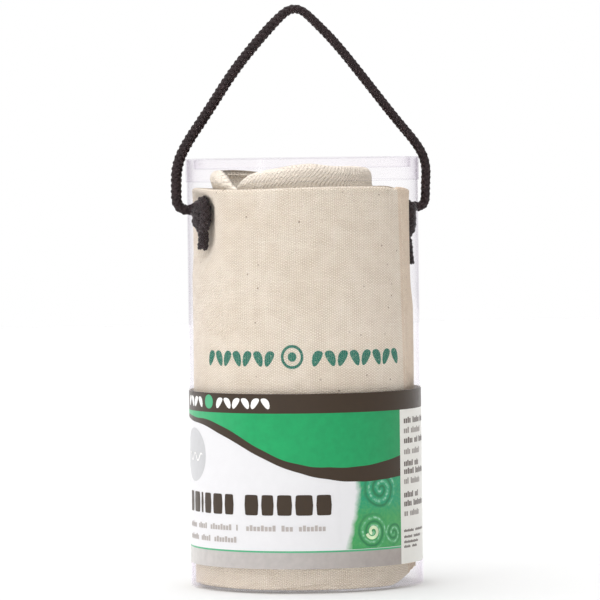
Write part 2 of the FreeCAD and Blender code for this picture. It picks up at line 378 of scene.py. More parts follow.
def tape_material():
    """Cotton twill tape: fine slanted ribs that turn back along the middle as in herringbone, with painted shade
    between them.
    """
    nodes = Nodes("cotton_twill_tape")
    across, along, _ = nodes.split(nodes.uv())
    slanted = nodes.math("ADD", nodes.math("ABSOLUTE", across), along)
    lines = nodes.math("SINE", nodes.times(slanted, 2 * math.pi / 0.0013))
    yarns = nodes.times_plus(lines, 0.5, 0.5)
    cloud = nodes.noise(nodes.uv(), 90.0, 3.0)
    colour = nodes.mix(nodes.between(cloud, 0.3, 0.7), (236, 226, 210), (243, 235, 223))
    # Painted shade: darker in the grooves between the ribs.
    colour = nodes.mix(nodes.between(yarns, 0.0, 0.5, 0.3, 0.0), colour, (190, 174, 152))
    fuzz = nodes.noise(nodes.uv(), 4200.0, 2.0)
    normal = nodes.bump(nodes.times_plus(fuzz, 0.3, yarns), 0.7, 0.0002)
    return nodes.principled(
        Base_Color=colour, Roughness=0.9, Specular_IOR_Level=0.2, Sheen_Weight=0.15, Normal=normal
    )


def thread_material():
    """Cream sewing thread with a twist."""
    nodes = Nodes("cream_thread")
    twist = nodes.noise(nodes.uv(900.0, 5000.0), 1.0, 1.0)
    colour = nodes.mix(twist, (226, 212, 190), (245, 236, 220))
    normal = nodes.bump(twist, 0.5, 0.0001)
    return nodes.principled(Base_Color=colour, Roughness=0.7, Specular_IOR_Level=0.3, Normal=normal)


def cord_material():
    """Near-black braided cord: fine filaments along each strand, with lint caught here and there."""
    nodes = Nodes("black_cord")
    filaments = nodes.noise(nodes.uv(240.0, 5200.0), 1.0, 2.0, 0.6)
    patchiness = nodes.noise(nodes.place(), 420.0, 3.0, 0.6)
    colour = nodes.mix(nodes.between(patchiness, 0.35, 0.7), (25, 15, 17), (44, 30, 32))
    colour = nodes.mix(nodes.between(filaments, 0.25, 0.75, 0.0, 0.3), colour, (66, 50, 50))
    lint_rare = nodes.between(nodes.noise(nodes.place(), 45.0, 0.0), 0.62, 0.66)
    lint = nodes.times(nodes.specks(nodes.place(), 330.0, 0.05, 0.13), lint_rare)
    colour = nodes.mix(nodes.times(lint, 0.8), colour, (214, 206, 200))
    normal = nodes.bump(filaments, 0.55, 0.00016)
    return nodes.principled(Base_Color=colour, Roughness=0.55, Specular_IOR_Level=0.28, Normal=normal)


def clear_material(name, tint, edge_tint, rough):
    """Clear PVC sheet: light passes straight through with a tint that deepens edge-on, and the surface shines."""
    nodes = Nodes(name)
    facing = nodes.add("LayerWeight", {"Blend": 0.5}).outputs["Facing"]
    edge_on = nodes.math("POWER", facing, 5.0)
    through = nodes.add("BsdfTransparent", {"Color": nodes.mix(edge_on, tint, edge_tint)})
    waves = nodes.noise(nodes.place(), 55.0, 2.0, 0.4)
    scuffs = nodes.noise(nodes.add("Mapping", {"Vector": nodes.place(), "Scale": (1, 1, 9)}).outputs[0], 380.0, 3.0)
    normal = nodes.bump(waves, 0.25, 0.0006)
    roughness = nodes.between(scuffs, 0.45, 0.75, rough, rough + 0.12)
    shine = nodes.add("BsdfGlossy", {"Color": (1, 1, 1, 1), "Roughness": roughness, "Normal": normal})
    glance = nodes.times_plus(nodes.math("POWER", facing, 9.0), 0.4, 0.007)
    both = nodes.add("MixShader", {0: glance, 1: through.outputs[0], 2: shine.outputs[0]})
    rays = nodes.add("LightPath").outputs
    lighting = nodes.math("MAXIMUM", rays["Is Shadow Ray"], rays["Is Diffuse Ray"])
    open_way = nodes.add("BsdfTransparent", {"Color": (1, 1, 1, 1)})
    lit = nodes.add("MixShader", {0: lighting, 1: both.outputs[0], 2: open_way.outputs[0]})
    return nodes.finish(lit)


PICTURE_START = 11.0
# The curls of paint in the label's picture: (angle, height, how far it reaches, from ring to ring).
PICTURE_CURLS = [(33.0, 0.0433, 0.0100, 0.0040), (28.0, 0.0254, 0.0088, 0.0034), (41.5, 0.0241, 0.0056, 0.0029)]


def print_material(name, colour, mottle=0.06, rough=0.38, sides=None):
    """Ink on coated card: a slight mottle in the colour and the card's faint tooth under a satin varnish.

    sides are the colours that it runs to at the left and the right of the design: painted light, lighter at the left
    where the soft light falls, and painted shade, darker at the right.
    """
    nodes = Nodes(name)
    patches = nodes.noise(nodes.place(), 260.0, 3.0, 0.6)
    if sides:
        across = nodes.split(nodes.uv())[0]
        # Painted light and shade: the colour runs lighter to the left and darker to the right.
        shade = nodes.mix(nodes.between(across, 0.030, 0.075), sides[0], colour)
        shade = nodes.mix(nodes.between(across, 0.085, 0.142), shade, sides[1])
        shade = nodes.mix(nodes.between(patches, 0.35, 0.7, 0.0, 0.12), shade, (0, 0, 0))
    else:
        darker, lighter = (
            [min(1.0, part * share) for part in linear(*colour)[:3]] + [1.0] for share in (1 - mottle, 1 + mottle)
        )
        shade = nodes.mix(nodes.between(patches, 0.3, 0.7), darker, lighter)
    normal = nodes.bump(nodes.noise(nodes.place(), 2600.0), 0.2, 0.00004)
    roughness = nodes.between(patches, 0.3, 0.7, rough - 0.04, rough + 0.06)
    return nodes.principled(Base_Color=shade, Roughness=roughness, Specular_IOR_Level=0.36, Normal=normal)


def picture_material(paper):
    """A printed picture of thick curled paint, teal above and grass green below, soft at its left edge.

    The UV starts at PICTURE_START. Each curl is a one-armed spiral round its own centre.
    """
    nodes = Nodes("print_green_picture")
    flat = nodes.uv()
    across, up, _ = nodes.split(flat)
    swirl = nodes.noise(flat, 150.0, 4.0, 0.55)
    fine = nodes.noise(flat, 620.0, 3.0, 0.6)
    field = nodes.times_plus(swirl, 1.6, -0.8)
    for angle, middle_up, reach, pitch in PICTURE_CURLS:
        middle = math.radians(angle - PICTURE_START) * label_high.x
        along = nodes.math("SUBTRACT", across, middle)
        above = nodes.math("SUBTRACT", up, middle_up)
        squared = nodes.times_plus(along, along, nodes.times(above, above))
        distance = nodes.math("SQRT", squared)
        phase = nodes.times_plus(distance, 2 * math.pi / pitch, nodes.math("ARCTAN2", above, along))
        wave = nodes.math("SINE", nodes.times_plus(swirl, 3.0, phase))
        near = nodes.between(distance, reach * 0.75, reach, 1.0, 0.0)
        field = nodes.times_plus(nodes.math("SUBTRACT", wave, field), near, field)
    colour = nodes.mix(nodes.between(up, 0.031, 0.038), (52, 150, 84), (14, 146, 104))
    colour = nodes.mix(nodes.between(fine, 0.4, 0.7, 0.0, 0.4), colour, (92, 168, 92))
    colour = nodes.mix(nodes.between(field, -1.0, -0.1, 0.75, 0.0), colour, (6, 100, 62))
    glints = nodes.times(nodes.between(field, 0.45, 1.0), nodes.between(fine, 0.42, 0.62, 0.1, 0.7))
    colour = nodes.mix(glints, colour, (168, 216, 196))
    edge = nodes.between(up, 0.021, 0.037, 0.0034, 0.0076)
    inside = nodes.times_plus(swirl, 0.004, nodes.math("SUBTRACT", across, edge))
    colour = nodes.mix(nodes.between(inside, 0.0008, 0.0034), paper, colour)
    normal = nodes.bump(fine, 0.15, 0.00005)
    return nodes.principled(Base_Color=colour, Roughness=0.42, Specular_IOR_Level=0.5, Normal=normal)


def ink_on_canvas_material():
    """Teal ink printed on the canvas, thin where it sinks between the yarns."""
    nodes = Nodes("teal_ink_on_canvas")
    yarns = weave(nodes)
    patchiness = nodes.noise(nodes.uv(), 900.0, 3.0, 0.6)
    share = nodes.times(nodes.between(yarns, 0.0, 0.35, 0.35, 1.0), nodes.between(patchiness, 0.2, 0.42))
    colour = nodes.mix(share, (170, 186, 168), (18, 104, 86))
    normal = nodes.bump(yarns, 0.6, 0.0002)
    return nodes.principled(Base_Color=colour, Roughness=0.85, Specular_IOR_Level=0.2, Normal=normal)


# ---------------------------------------------------------------- camera
CAMERA_AZIMUTH = math.radians(-6.0)
CAMERA_DISTANCE = 2.1391
CAMERA_UP = 0.1929
CAMERA_HEADING = CAMERA_AZIMUTH + math.radians(0.0441)
CAMERA_PITCH = math.radians(-1.875)
CAMERA_ROLL = math.radians(-0.732)
CAMERA_LENS = 296.5


def make_camera():
    """A long lens a little above the lid, a few degrees round to the left of the front."""
    data = bpy.data.cameras.new("camera")
    data.lens = CAMERA_LENS
    data.sensor_width = 36
    camera = bpy.data.objects.new("camera", data)
    bpy.context.scene.collection.objects.link(camera)
    level = math.cos(CAMERA_PITCH)
    forward = Vector((-math.sin(CAMERA_HEADING) * level, math.cos(CAMERA_HEADING) * level, math.sin(CAMERA_PITCH)))
    right = forward.cross(Vector((0, 0, 1))).normalized()
    above = right.cross(forward)
    across = math.cos(CAMERA_ROLL) * right + math.sin(CAMERA_ROLL) * above
    upward = -math.sin(CAMERA_ROLL) * right + math.cos(CAMERA_ROLL) * above
    turned = Matrix((across, upward, -forward)).transposed().to_4x4()
    place = Vector((math.sin(CAMERA_AZIMUTH), -math.cos(CAMERA_AZIMUTH), 0)) * CAMERA_DISTANCE
    camera.matrix_world = Matrix.Translation(place + Vector((0, 0, CAMERA_UP))) @ turned
    bpy.context.scene.camera = camera


make_camera()

# ---------------------------------------------------------------- braided cord
CORD_EXIT = 0.0488  # how far out the cord's ends lie, just inside the wall
# The handle's route (across, up). It is the CAD tube's with small shifts, most on the right leg above its hole.
CORD_ROUTE = [
    (-CORD_EXIT, HOLE_UP), (-0.0513, HOLE_UP), (-0.05345, HOLE_UP + 0.00125), (-0.0547, HOLE_UP + 0.0034),
    (-0.0548, 0.1710), (-0.0545, 0.1814), (-0.0507, 0.1903), (-0.0406, 0.2048), (-0.0297, 0.2217),
    (-0.0192, 0.2345), (-0.0106, 0.2439), (-0.0050, 0.2488), (0.0004, 0.2487), (0.0062, 0.2433),
    (0.0154, 0.2338), (0.0278, 0.2180), (0.0408, 0.2010), (0.0510, 0.1889), (0.0542, 0.1811),
    (0.0537, 0.1714), (0.0536, HOLE_UP + 0.0034), (0.0528, HOLE_UP + 0.0012), (0.0512, HOLE_UP),
    (CORD_EXIT, HOLE_UP),
]


def spline_points(name, route):
    """The smooth NURBS line with these control points, as evenly read points."""
    curve = bpy.data.curves.new(name, "CURVE")
    curve.dimensions = "3D"
    curve.resolution_u = 24
    spline = curve.splines.new("NURBS")
    spline.points.add(len(route) - 1)
    for point, place in zip(spline.points, route):
        point.co = (*place, 1.0)
    spline.order_u = 3
    spline.use_endpoint_u = True
    carrier = bpy.data.objects.new(name, curve)
    bpy.context.scene.collection.objects.link(carrier)
    mesh = bpy.data.meshes.new_from_object(carrier)
    points = np.array([vertex.co for vertex in mesh.vertices], float)
    bpy.data.objects.remove(carrier)
    bpy.data.meshes.remove(mesh)
    return points


def even_steps(points, step):
    """The same line with its points a step apart, and how far along it each is."""
    lengths = np.linalg.norm(np.diff(points, axis=0), axis=1)
    along = np.concatenate([[0], np.cumsum(lengths)])
    stops = np.linspace(0, along[-1], int(along[-1] / step) + 1)
    return np.stack([np.interp(stops, along, points[:, axis]) for axis in range(3)], 1), stops


def unit(vectors):
    return vectors / np.linalg.norm(vectors, axis=-1, keepdims=True)


def carried_frames(points, first_side):
    """Tangents, and two crosswise directions that turn with the line without twisting."""
    tangents = unit(np.gradient(points, axis=0))
    side = np.asarray(first_side, float)
    sides = []
    for tangent in tangents:
        side = side - tangent * side.dot(tangent)
        side = side / np.linalg.norm(side)
        sides.append(side)
    sides = np.array(sides)
    return tangents, sides, np.cross(tangents, sides)


def rings_round(line, first, second, turn):
    """Points (steps, turns, 3) round a line, from two crosswise half-axes at each of its steps."""
    turn = turn[None, :, None]
    return line[:, None] + first[:, None] * np.cos(turn) + second[:, None] * np.sin(turn)


class Tubes:
    """Capped tubes gathered into one mesh."""

    def __init__(self):
        self.vertices, self.faces, self.uvs = [], [], []
        self.count = 0

    def add(self, rings, table):
        """Adds a tube from its rings (rows, cols, 3). The table has their UV pairs and one column more."""
        rows, cols = rings.shape[:2]
        self.vertices.append(rings.reshape(-1, 3))
        self.faces.extend(grid_faces(rows, cols, True, self.count).tolist())
        self.uvs.append(grid_uvs(table, True))
        for row, order in ((0, slice(None, None, -1)), (rows - 1, slice(None))):
            self.faces.append((self.count + row * cols + np.arange(cols))[order].tolist())
            self.uvs.append(table[row, :cols][order])
        self.count += rows * cols

    def mesh(self, name, material):
        thing = add_mesh(name, np.vstack(self.vertices), self.faces, np.vstack(self.uvs), material)
        weld(thing, 1e-9)
        return thing


BRAID_STEP = 0.0005
CARRIERS = 4
STRAND_PITCH = 0.0096
STRAND_RING = 0.00158
STRAND_WEAVE = 0.00036
STRAND_HALF_WIDTH = 0.00086
STRAND_HALF_DEPTH = 0.00060
STRAND_SIDES = 10
CORE_INSET = 0.0001


def braid(name, points, first_side, material, widths=None, depths=None):
    """Eight strands plaited over and under each other along a line, round a plain core.

    widths and depths scale the cord's section across and out of its bends at each step along the line.
    """
    line, along = even_steps(points, BRAID_STEP)
    tangents, sides, ups = carried_frames(line, first_side)
    wide = np.ones(len(line)) if widths is None else np.interp(along, *widths)
    deep = np.ones(len(line)) if depths is None else np.interp(along, *depths)
    around = np.linspace(0, 2 * math.pi, STRAND_SIDES + 1)
    tubes = Tubes()

    def add_tube(rings, across):
        tubes.add(rings, np.stack(np.meshgrid(across, along), -1)[..., ::-1])

    for hand in (1, -1):
        for carrier in range(CARRIERS):
            turn = 2 * math.pi * carrier / CARRIERS + hand * 2 * math.pi * along / STRAND_PITCH
            over = hand * np.cos(2 * math.pi * CARRIERS * along / STRAND_PITCH)
            reach = STRAND_RING + STRAND_WEAVE * over
            outward = sides * (np.cos(turn) * wide)[:, None] + ups * (np.sin(turn) * deep)[:, None]
            middle = line + outward * reach[:, None]
            strand_way = unit(np.gradient(middle, axis=0))
            flat_way = unit(np.cross(strand_way, outward))
            out_way = np.cross(flat_way, strand_way)
            rings = rings_round(middle, flat_way * STRAND_HALF_WIDTH, out_way * STRAND_HALF_DEPTH, around[:-1])
            add_tube(rings, around * STRAND_HALF_WIDTH)
    core = STRAND_RING - CORE_INSET
    rings = rings_round(line, sides * (core * wide)[:, None], ups * (core * deep)[:, None], around[:-1])
    add_tube(rings, around * core)
    return tubes.mesh(name, material), line


KNOT_TURNS = 1.5  # half turns make the two passes change sides
KNOT_RING = 0.00235
KNOT_HALF = 0.0044
KNOT_BOW = 0.0060


def knot_route(side, forward, drop, bow, tail):
    """An overhand knot between the wall and the canvas: two passes twisted round each other, joined by a bow.

    side is -1 for the left hole and 1 for the right one, forward and drop say how far in front of and below its
    hole the knot sits, bow is the way its bow faces and tail the (across, up) place of its free end.
    """
    middle = np.array([side * 0.0446, -forward, HOLE_UP - drop])
    inward = np.array([-side, 0, 0])
    front = np.array([0, -1, 0])

    def at(turn, reach, up):
        """A point round the knot's upright axis; turn 0 is away from the wall and 90 is the front."""
        angle = math.radians(turn)
        return middle + inward * (math.cos(angle) * reach) + front * (math.sin(angle) * reach) + np.array([0, 0, up])

    steps = 9
    route = [np.array([side * CORD_EXIT, 0, HOLE_UP]), np.array([side * 0.0472, -forward * 0.3, HOLE_UP + 0.0004])]
    for start, is_last in ((bow + 180.0, False), (bow, True)):
        for step in range(steps + 1):
            share = step / steps
            route.append(at(start - side * 360 * KNOT_TURNS * share, KNOT_RING, KNOT_HALF * (1 - 2 * share)))
        if not is_last:
            route += [at(bow, reach, up) for reach, up in (
                (KNOT_BOW * 0.62, -KNOT_HALF - 0.0022), (KNOT_BOW * 0.98, -KNOT_HALF * 0.7), (KNOT_BOW, 0.0),
                (KNOT_BOW * 0.98, KNOT_HALF * 0.7), (KNOT_BOW * 0.62, KNOT_HALF + 0.0022),
            )]
    end = np.array([side * tail[0], -forward - 0.0012, tail[1]])
    fall = route[-1][2] - tail[1]
    route += [end + np.array([-side * 0.0006, 0.0006, fall * share]) for share in (0.62, 0.3)]
    route.append(end)
    return [tuple(point) for point in route]


black_cord = cord_material()
handle_line = spline_points("handle_route", [(across, 0.0, up) for across, up in CORD_ROUTE])
# How far along the cord, and how wide it is there: full on the left, pinched at the fold, slimmer on the right.
HANDLE_WIDTHS = (
    [0.0, 0.02, 0.095, 0.106, 0.112, 0.118, 0.13, 0.20, 0.225],
    [0.9, 1.0, 0.94, 0.8, 0.72, 0.76, 0.82, 0.8, 0.78],
)
HANDLE_DEPTHS = ([0.0, 0.095, 0.112, 0.13, 0.225], [0.98, 1.0, 1.08, 1.0, 0.98])
handle, handle_path = braid("braided_handle", handle_line, (0, 0, 1), black_cord, HANDLE_WIDTHS, HANDLE_DEPTHS)
attach(handle, "handle", "black_cord", "handle_cord")

for knot_name, node, side, forward, drop, bow, tail_across in (
    ("overhand_knot_left", "knot_left", -1, 0.0068, 0.0018, 80.0, 0.0444),
    ("overhand_knot_right", "knot_right", 1, -0.0028, 0.0050, 112.0, 0.0464),
):
    tail = (tail_across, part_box(node)[0].z)
    knot_line = spline_points(f"{node}_route", knot_route(side, forward, drop, bow, tail))
    knot, _ = braid(knot_name, knot_line, (0, 0, 1), black_cord)
    attach(knot, "tube", "black_cord", node)


# ---------------------------------------------------------------- clear tube, base and lid
def make_clear_parts():
    """The wall with its two holes and overlapped seam, the base and the lid, each with soft moulded edges."""
    sheet = clear_material("clear_pvc_wall", (0.999, 0.997, 0.999, 1), (0.86, 0.84, 0.87, 1), 0.03)
    moulded = clear_material("clear_pvc_cap", (0.998, 0.995, 0.998, 1), (0.91, 0.89, 0.92, 1), 0.05)
    rim = clear_material("clear_pvc_rim", (0.95, 0.94, 0.955, 1), (0.8, 0.78, 0.81, 1), 0.1)
    outer, inner = TUBE_RADIUS, TUBE_RADIUS - WALL
    edge = WALL * 0.35
    low, high = wall_low.z, wall_high.z
    heights = np.concatenate([[low + edge], np.linspace(low + 0.01, high - 0.01, 12), [high - edge]])
    profile = [(outer, z) for z in heights]
    profile += [(outer - edge * 0.6, high), (inner + edge * 0.6, high)]
    profile += [(inner, z) for z in heights[::-1]]
    profile += [(inner + edge * 0.6, low), (outer - edge * 0.6, low)]
    wall = revolve("clear_wall", profile, sheet, segments=256)
    cutter_mesh = bpy.data.meshes.new("hole_cutter")
    cutter = bpy.data.objects.new("hole_cutter", cutter_mesh)
    bpy.context.scene.collection.objects.link(cutter)
    ring = np.radians(np.arange(HOLE_SIDES) * 360 / HOLE_SIDES)
    ends = [
        (x, HOLE_RADIUS * math.cos(a), HOLE_UP + HOLE_RADIUS * math.sin(a))
        for x in (-TUBE_RADIUS * 1.2, TUBE_RADIUS * 1.2)
        for a in ring
    ]
    caps = [list(range(HOLE_SIDES - 1, -1, -1)), list(range(HOLE_SIDES, 2 * HOLE_SIDES))]
    cutter_mesh.from_pydata(ends, [], grid_faces(2, HOLE_SIDES, True).tolist() + caps)
    cut = wall.modifiers.new("holes", "BOOLEAN")
    cut.object = cutter
    cut.operation = "DIFFERENCE"
    cut.solver = "EXACT"
    apply_modifiers(wall)
    bpy.data.objects.remove(cutter)
    sharpen(wall, 50)

    seam_angle = np.linspace(173.0, 187.0, 17)
    rows = np.linspace(label_high.z + 0.0006, lid_low.z - 0.0008, 3)
    flat = np.stack(np.meshgrid(np.radians(seam_angle) * outer, rows), -1)
    seam = grid("clear_wall_seam", on_tube(seam_angle[None, :], outer + SEAM_PROUD, rows[:, None]), flat, sheet)
    solidify(seam, SEAM_THICKNESS)
    apply_modifiers(seam)

    cap_in = TUBE_RADIUS + CAP_CLEARANCE
    cap_out = cap_in + CAP_THICKNESS
    fillet = 0.00035
    lip = CAP_THICKNESS / 2
    base_profile = [(0.0, base_low.z), (cap_out - 0.006, base_low.z), (cap_out - 0.0055, base_low.z + 0.00012)]
    base_profile += [(cap_out - 0.003, base_low.z + 0.00012), (cap_out - 0.0025, base_low.z)]
    base_profile += arc((cap_out - fillet, base_low.z + fillet), fillet, -90, 0)
    base_profile += arc((cap_out - lip, base_high.z - lip), lip, 0, 180, 7)
    base_profile += [(cap_in, BASE_FLOOR + 0.0003), (cap_in - 0.0003, BASE_FLOOR), (0.0, BASE_FLOOR)]
    base = revolve("clear_base", base_profile, moulded, closed=False)

    under = lid_high.z - CAP_THICKNESS
    plug_in = PLUG_RADIUS - CAP_THICKNESS
    lid_profile = [(0.0, lid_high.z), (plug_in - 0.0006, lid_high.z), (plug_in - 0.0002, lid_high.z - 0.00018)]
    lid_profile += [(PLUG_RADIUS + 0.0002, lid_high.z - 0.00018), (PLUG_RADIUS + 0.0006, lid_high.z)]
    lid_profile += arc((cap_out - fillet, lid_high.z - fillet), fillet, 90, 0)
    lid_profile += arc((cap_out - lip, lid_low.z + lip), lip, 0, -180, 7)
    lid_profile += [(cap_in, under), (PLUG_RADIUS, under)]
    lid_profile += arc((PLUG_RADIUS - lip, lid_high.z - PLUG_DEPTH + lip), lip, 0, -180, 7)
    lid_profile += [(plug_in, under), (0.0, under)]
    lid = revolve("clear_lid", lid_profile, moulded, closed=False)
    for piece in (base, lid):
        sharpen(piece, 50)
    lid.data.materials.append(rim)
    edges = ((cap_out, lid_low.z), (cap_out, lid_high.z), (PLUG_RADIUS, lid_high.z - PLUG_DEPTH))
    for face in lid.data.polygons:
        reach = math.hypot(face.center.x, face.center.y)
        if any(math.hypot(reach - radius, face.center.z - up) < CAP_THICKNESS * 1.3 for radius, up in edges):
            face.material_index = 1

    attach(wall, "tube", "clear_sheet", "tube_wall")
    attach(seam, "tube", "clear_sheet")
    attach(base, "tube", "clear_cap", "base_cap")
    attach(lid, "lid", "clear_cap", "lid")


make_clear_parts()

# ---------------------------------------------------------------- rolled canvas
PLIES = 5
PLY_STEP = 0.00087
FOLD_REACH = 0.005  # in plies: how near a fold the cloth starts to cross over to the next one
CLOTH = 0.00055
ROLLED_WIDTH = 0.69
ROLL_TURNED = 1100  # in degrees, a little further than the cloth reaches
ROLL_COLUMNS = 401
OUTER_END = 88.0  # where the cloth's outer end lies round the tube
WRAP_RADIUS = 0.0471
RIBS_FROM = 0.49  # how far from the outer end the taller inner roll begins
INNER_LIFT = 0.0085
WRAP_TOP = 0.1717
ROLL_BOTTOM = roll_low.z + 0.0003
WRAP_RIM = 0.0014  # how far below its top edge the cloth starts to bend over, on the wrap and on the inner roll
ROLL_RIM = 0.0045
# The inner roll's top edge, (angle, height): a lobe on the left, a notch, a dome and a flatter lobe.
INNER_TOP = [
    (-180, 0.1795), (-100, 0.1793), (-78, 0.1796), (-68, 0.1765), (-58, 0.1705), (-46, 0.1766), (-38, 0.1784),
    (-28, 0.1794), (-6, 0.1813), (11, 0.1821), (24, 0.1811), (34, 0.1807), (60, 0.1806), (100, 0.1796),
    (180, 0.1795),
]


def wrapped(angle):
    """The same angle between -180 and 180."""
    return (np.asarray(angle, float) + 180) % 360 - 180


def round_hump(angle, middle, half_width):
    """A smooth hump of height 1 at an angle round the tube."""
    return hump(wrapped(angle - middle), 0, half_width)


def roll_radius(turned):
    """The outermost ply's radius after the roll has turned so many degrees from its outer end."""
    under_end = 0.0045 * ramp(turned, 326, 372)
    to_inner = 0.0076 * ramp(turned, 540, 640)
    winding = 0.0042 * np.clip(turned - 640, 0, None) / 360
    tucked = 0.009 * ramp(turned, 880, 1010)
    return WRAP_RADIUS - under_end - to_inner - winding - tucked


def crease_angle(up):
    """The side hem's inner crease leans a little as it rises."""
    return 58.4 - 3.2 * (up - 0.0886) / 0.0816


def pressed_in(angle, up, radius):
    """How far the cord's knots press the cloth in, most on the outer plies and hardly on the inner ones."""
    under_edge = 1 - 0.7 * ramp(up, 0.1655, 0.1712)
    left = 0.0070 * round_hump(angle, -78, 28) * ramp(up, 0.134, 0.149)
    right = 0.0074 * round_hump(angle, 101, 23) * ramp(up, 0.1190, 0.1410)
    share = np.clip((radius - 0.0325) / (WRAP_RADIUS - 0.0325), 0, 1)
    return (left + right) * under_edge * share


def wrap_waves(angle, up):
    """Soft unevenness of the rolled cloth."""
    turn = np.radians(angle)
    slow = 0.00016 * np.sin(3 * turn + 1.1) * np.sin(up * 38 + 0.6)
    quick = 0.00010 * np.sin(7 * turn - 0.4 + up * 22) * np.sin(up * 71 + 2.0)
    return slow + quick


def canvas_point(turned, ply, up):
    """Where the cloth is for a turned angle, a ply (0 is the outermost) and a height."""
    angle = OUTER_END - turned
    radius = roll_radius(turned) - PLY_STEP * ply
    outermost = 1 - ramp(turned, 40, 75)
    past_crease = np.clip((wrapped(angle) - crease_angle(up)) / (OUTER_END - crease_angle(up)), 0, 1)
    radius = radius - 0.0016 * np.sin(math.pi * past_crease) * outermost
    radius = radius + 0.0008 * round_hump(angle, -106, 55) * (1 - ramp(turned, 340, 540))
    radius = radius - pressed_in(angle, up, radius) + wrap_waves(angle, up)
    inner = ramp(turned, 560, 660)
    shoulder = ramp(up, 0.1655, 0.1735) * inner
    bulge = 0.0030 * round_hump(angle, -100, 80) * shoulder
    bulge = bulge + 0.0042 * round_hump(angle, 180, 130) * ramp(up, 0.164, 0.181) * inner
    rim = top_of(turned)
    bend = ROLL_RIM * inner + WRAP_RIM * (1 - inner)
    past = np.clip((up - rim + bend) / bend, 0, 1)
    tucked_in = 0.8 * bend * (1 - np.sqrt(1 - past**2))
    points = on_tube(angle, radius + bulge - tucked_in, up)
    points[..., 0] -= 0.0048 * shoulder
    return points


def top_of(turned):
    """The height of the top folds."""
    angle = wrapped(OUTER_END - turned)
    outer = WRAP_TOP + 0.0004 * np.sin(np.radians(angle) * 3 + 0.9) - 0.0007 * hump(angle, 52, 7)
    outer = outer - 0.0011 * hump(turned, 0, 22) - 0.0008 * ramp(turned, 320, 350)
    outer = outer - 0.0012 * round_hump(angle, 180, 105)
    names = [row[0] for row in INNER_TOP]
    spread = np.linspace(-4, 4, 9)
    shape = np.mean([np.interp(wrapped(angle + s), names, [row[1] for row in INNER_TOP]) for s in spread], axis=0)
    lifted = ramp(turned, 556, 650)
    later = ramp(turned, 930, 1000)
    inner = shape * (1 - later) + 0.1765 * later
    return outer * (1 - lifted) + inner * lifted


def bottom_of(turned, ply):
    """The height of the lower folds, and of the outermost ply's free hem, which curls up here and there."""
    angle = wrapped(OUTER_END - turned)
    hem = 0.0022 * hump(angle, 4, 30) + 0.0012 * ramp(angle, 56, 80) + 0.0010 * hump(angle, -70, 24)
    on_hem = (1 - np.clip(ply, 0, 1)) * (turned < 340)
    right_side = ramp(angle, 42, 64) * (1 - ramp(angle, 140, 165))
    lifted = INNER_LIFT * ramp(turned, 556, 650)
    return ROLL_BOTTOM + hem * on_hem + lifted + 0.0042 * right_side * (1 - ramp(turned, 500, 556))


def fold_rows():
    """Positions across the folded cloth, in plies: close together at the folds and even between them."""
    near_fold = np.array([0.0, 0.0022, 0.0048, 0.008, 0.013, 0.021])
    middle = np.linspace(0.045, 0.955, 32)
    one_ply = np.concatenate([near_fold, middle, 1 - near_fold[:0:-1]])
    return np.concatenate([one_ply + ply for ply in range(PLIES)] + [[float(PLIES)]])


def make_canvas():
    """The apron's panel: folded to and fro into five plies, then rolled from its inner end outwards."""
    turned = np.linspace(0, ROLL_TURNED, 4 * ROLL_TURNED + 1)
    steps = np.radians(turned[1] - turned[0]) * (roll_radius(turned[1:]) - PLY_STEP * 2)
    along = np.concatenate([[0], np.cumsum(steps)])
    flat_across = np.linspace(0, ROLLED_WIDTH, ROLL_COLUMNS)
    turn = np.interp(flat_across, along, turned)[None, :]
    position = fold_rows()[:, None]
    whole = np.floor(np.clip(position, 0, PLIES - 1e-9))
    share = position - whole
    over_fold = 0.5 * (1 - np.clip(np.minimum(share, 1 - share) / FOLD_REACH, 0, 1))
    ply = whole + np.where(share > 0.5, over_fold, 0) - np.where((share < 0.5) & (whole > 0), over_fold, 0)
    level = np.where(whole % 2 == 0, share, 1 - share)
    low, high = bottom_of(turn, ply), top_of(turn) - 0.0009 * np.floor((ply + 0.6) / 2)
    up = low + (high - low) * level
    points = canvas_point(turn, ply, up)
    ply_height = WRAP_TOP - ROLL_BOTTOM
    uvs = np.stack(np.broadcast_arrays(flat_across[None, :], position * ply_height), -1)
    panel = grid("rolled_canvas_panel", points, uvs, canvas_material("cotton_canvas", ribs=True))
    solidify(panel, CLOTH)
    attach(panel, "apron", "cotton_canvas", "apron_body")
    return panel


panel = make_canvas()


def wrap_surface(angle, up, proud):
    """A point just proud of the outermost ply, for the print and the hem's stitches."""
    flat = canvas_point(OUTER_END - np.asarray(angle, float), 0.0, up)
    outward = on_tube(angle, 1.0, 0.0)
    return flat + outward * (CLOTH / 2 + np.asarray(proud))[..., None]


def make_stitches():
    """A line of lockstitch along the side hem and another above the free lower hem."""
    rings, sides = 7, 8
    around = np.linspace(0, 2 * math.pi, sides + 1)
    half, thread_radius = 0.00105, 0.00017
    tubes = Tubes()
    runs = [(crease_angle(up) + 2.6, up, "up") for up in np.arange(0.0085, 0.168, 0.0031)]
    hem_up = ROLL_BOTTOM + 0.0062
    for angle in np.arange(-100, 56, 3.9):
        runs.append((angle, hem_up + float(bottom_of(OUTER_END - angle, 0) - ROLL_BOTTOM), "round"))
    share = np.linspace(-1, 1, rings)
    arch = 0.00012 * (1 - share**2)
    thick = thread_radius * np.sqrt(np.clip(1 - share**2, 0.06, 1))[:, None]
    table = np.stack(np.meshgrid(around * thread_radius, (share + 1) * half), -1)
    for angle, up, way in runs:
        if way == "up":
            line = wrap_surface(np.full(rings, angle), up + share * half, arch)
        else:
            line = wrap_surface(angle + np.degrees(share * half / WRAP_RADIUS), np.full(rings, up), arch)
        _, first, second = carried_frames(line, on_tube(angle, 1.0, 0.0))
        tubes.add(rings_round(line, first * thick * 0.7, second * thick, around[:-1]), table)
    stitches = tubes.mesh("hem_stitches", thread_material())
    attach(stitches, "apron", "cotton_canvas")
    return stitches


stitches = make_stitches()


